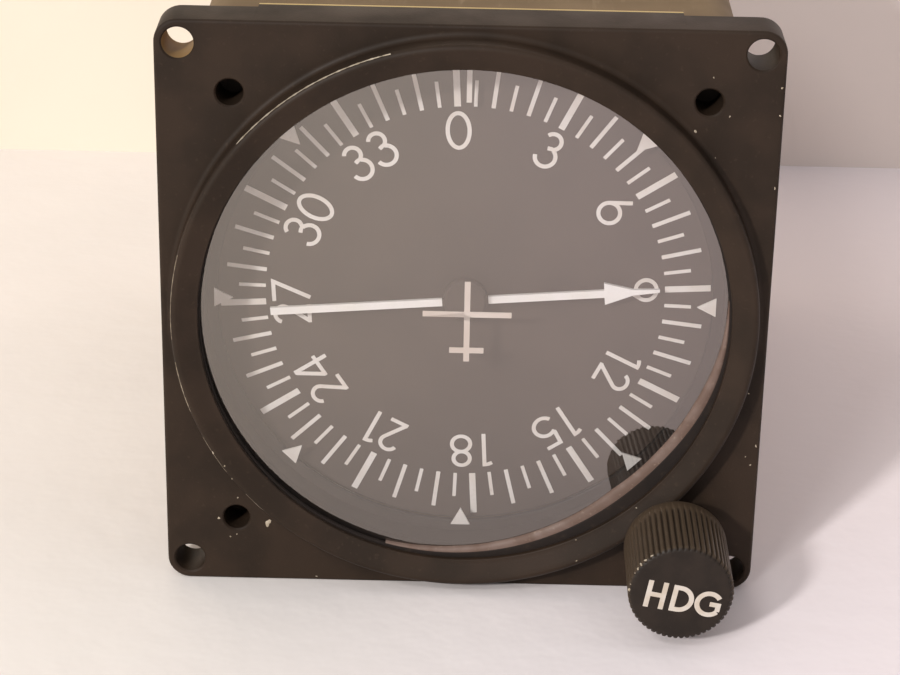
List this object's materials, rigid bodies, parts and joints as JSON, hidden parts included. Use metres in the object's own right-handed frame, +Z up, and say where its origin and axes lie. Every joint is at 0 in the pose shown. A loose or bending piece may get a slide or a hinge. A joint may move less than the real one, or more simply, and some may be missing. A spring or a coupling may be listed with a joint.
{
  "type": "automatic direction finder indicator",
  "caption": "Square panel instrument with a deep round window, a hand-turned azimuth card, a bearing pointer and a fluted setting knob at the lower right corner.",
  "frame": {"origin": "under the middle of the part's box, on the plane of the flange's bottom edge", "axes": "+Y from the dial to the rear connector, along the dial's axis; +Z up; +X right, as seen by someone who faces the dial"},
  "size_m": [0.0826, 0.135, 0.0825],
  "materials": {
    "black_paint": "satin black enamel, worn at the edges",
    "knob_black": "satin black, anodised look",
    "card_paint": "matte brown-black",
    "mark_paint": "matte off-white",
    "window_glass": "polished, with a light haze",
    "gasket_rubber": "matte black",
    "steel": "satin",
    "brass": "machined",
    "aluminium": "machined",
    "board_laminate": "lacquered laminate",
    "connector_plastic": "moulded"
  },
  "bodies": {
    "housing": {"bezel": "black_paint", "case_shell": "black_paint", "rear_cover": "black_paint", "mask_ring": "card_paint", "aircraft_symbol": "mark_paint", "lubber_index": "mark_paint", "heading_marker_045": "mark_paint", "heading_marker_090": "mark_paint", "heading_marker_135": "mark_paint", "heading_marker_180": "mark_paint", "heading_marker_225": "mark_paint", "heading_marker_270": "mark_paint", "heading_marker_315": "mark_paint", "window_glass": "window_glass", "front_gasket": "gasket_rubber", "rear_gasket": "gasket_rubber", "retaining_ring": "steel", "hub_clip": "steel", "idler_pin": "steel", "pointer_bearing_front": "steel", "pointer_bearing_rear": "steel", "servo_motor": "steel", "gear_spacer_1": "steel", "gear_spacer_2": "steel", "gear_spacer_3": "steel", "gear_spacer_4": "steel", "frame_post_1": "steel", "frame_post_2": "steel", "frame_post_3": "steel", "frame_post_4": "steel", "plate_screw_1": "steel", "plate_screw_2": "steel", "plate_screw_3": "steel", "cover_screw_1": "steel", "cover_screw_2": "steel", "cover_screw_3": "steel", "cover_screw_4": "steel", "case_screw_1": "steel", "case_screw_2": "steel", "case_screw_3": "steel", "card_bushing": "brass", "knob_bushing": "brass", "front_plate": "aluminium", "gear_plate": "aluminium", "resolver": "aluminium", "circuit_board": "board_laminate", "rear_connector": "connector_plastic", "transformer": "connector_plastic"},
    "card": {"azimuth_card": "card_paint", "card_hub": "aluminium", "card_gear": "brass"},
    "idler": {"idler_gear": "brass"},
    "knob": {"control_knob": "knob_black", "knob_shaft": "steel", "knob_pinion": "brass", "knob_set_screw": "steel"},
    "pointer": {"bearing_pointer": "mark_paint", "pointer_shaft": "steel", "pointer_gear": "brass"},
    "motor_rotor": {"motor_pinion": "brass"}
  },
  "joints": [
    {"name": "card_turn", "type": "hinge", "parent": "housing", "child": "card", "pos_m": [0, 0, 0.04127], "axis": [0, 1, 0], "continuous": true},
    {"name": "idler_turn", "type": "hinge", "parent": "housing", "child": "idler", "pos_m": [0.02378, 0, 0.01587], "axis": [0, 1, 0], "continuous": true},
    {"name": "knob_turn", "type": "hinge", "parent": "housing", "child": "knob", "pos_m": [0.02993, 0, 0.00929], "axis": [0, 1, 0], "continuous": true},
    {"name": "pointer_turn", "type": "hinge", "parent": "housing", "child": "pointer", "pos_m": [0, 0, 0.04127], "axis": [0, 1, 0], "continuous": true},
    {"name": "motor_turn", "type": "hinge", "parent": "housing", "child": "motor_rotor", "pos_m": [-0.01527, 0, 0.05655], "axis": [0, 1, 0], "continuous": true}
  ],
  "couplings": [
    {"joint": "idler_turn", "follows": "card_turn", "ratio": -4.8},
    {"joint": "knob_turn", "follows": "card_turn", "ratio": 9.6},
    {"joint": "motor_turn", "follows": "pointer_turn", "ratio": -5}
  ]
}
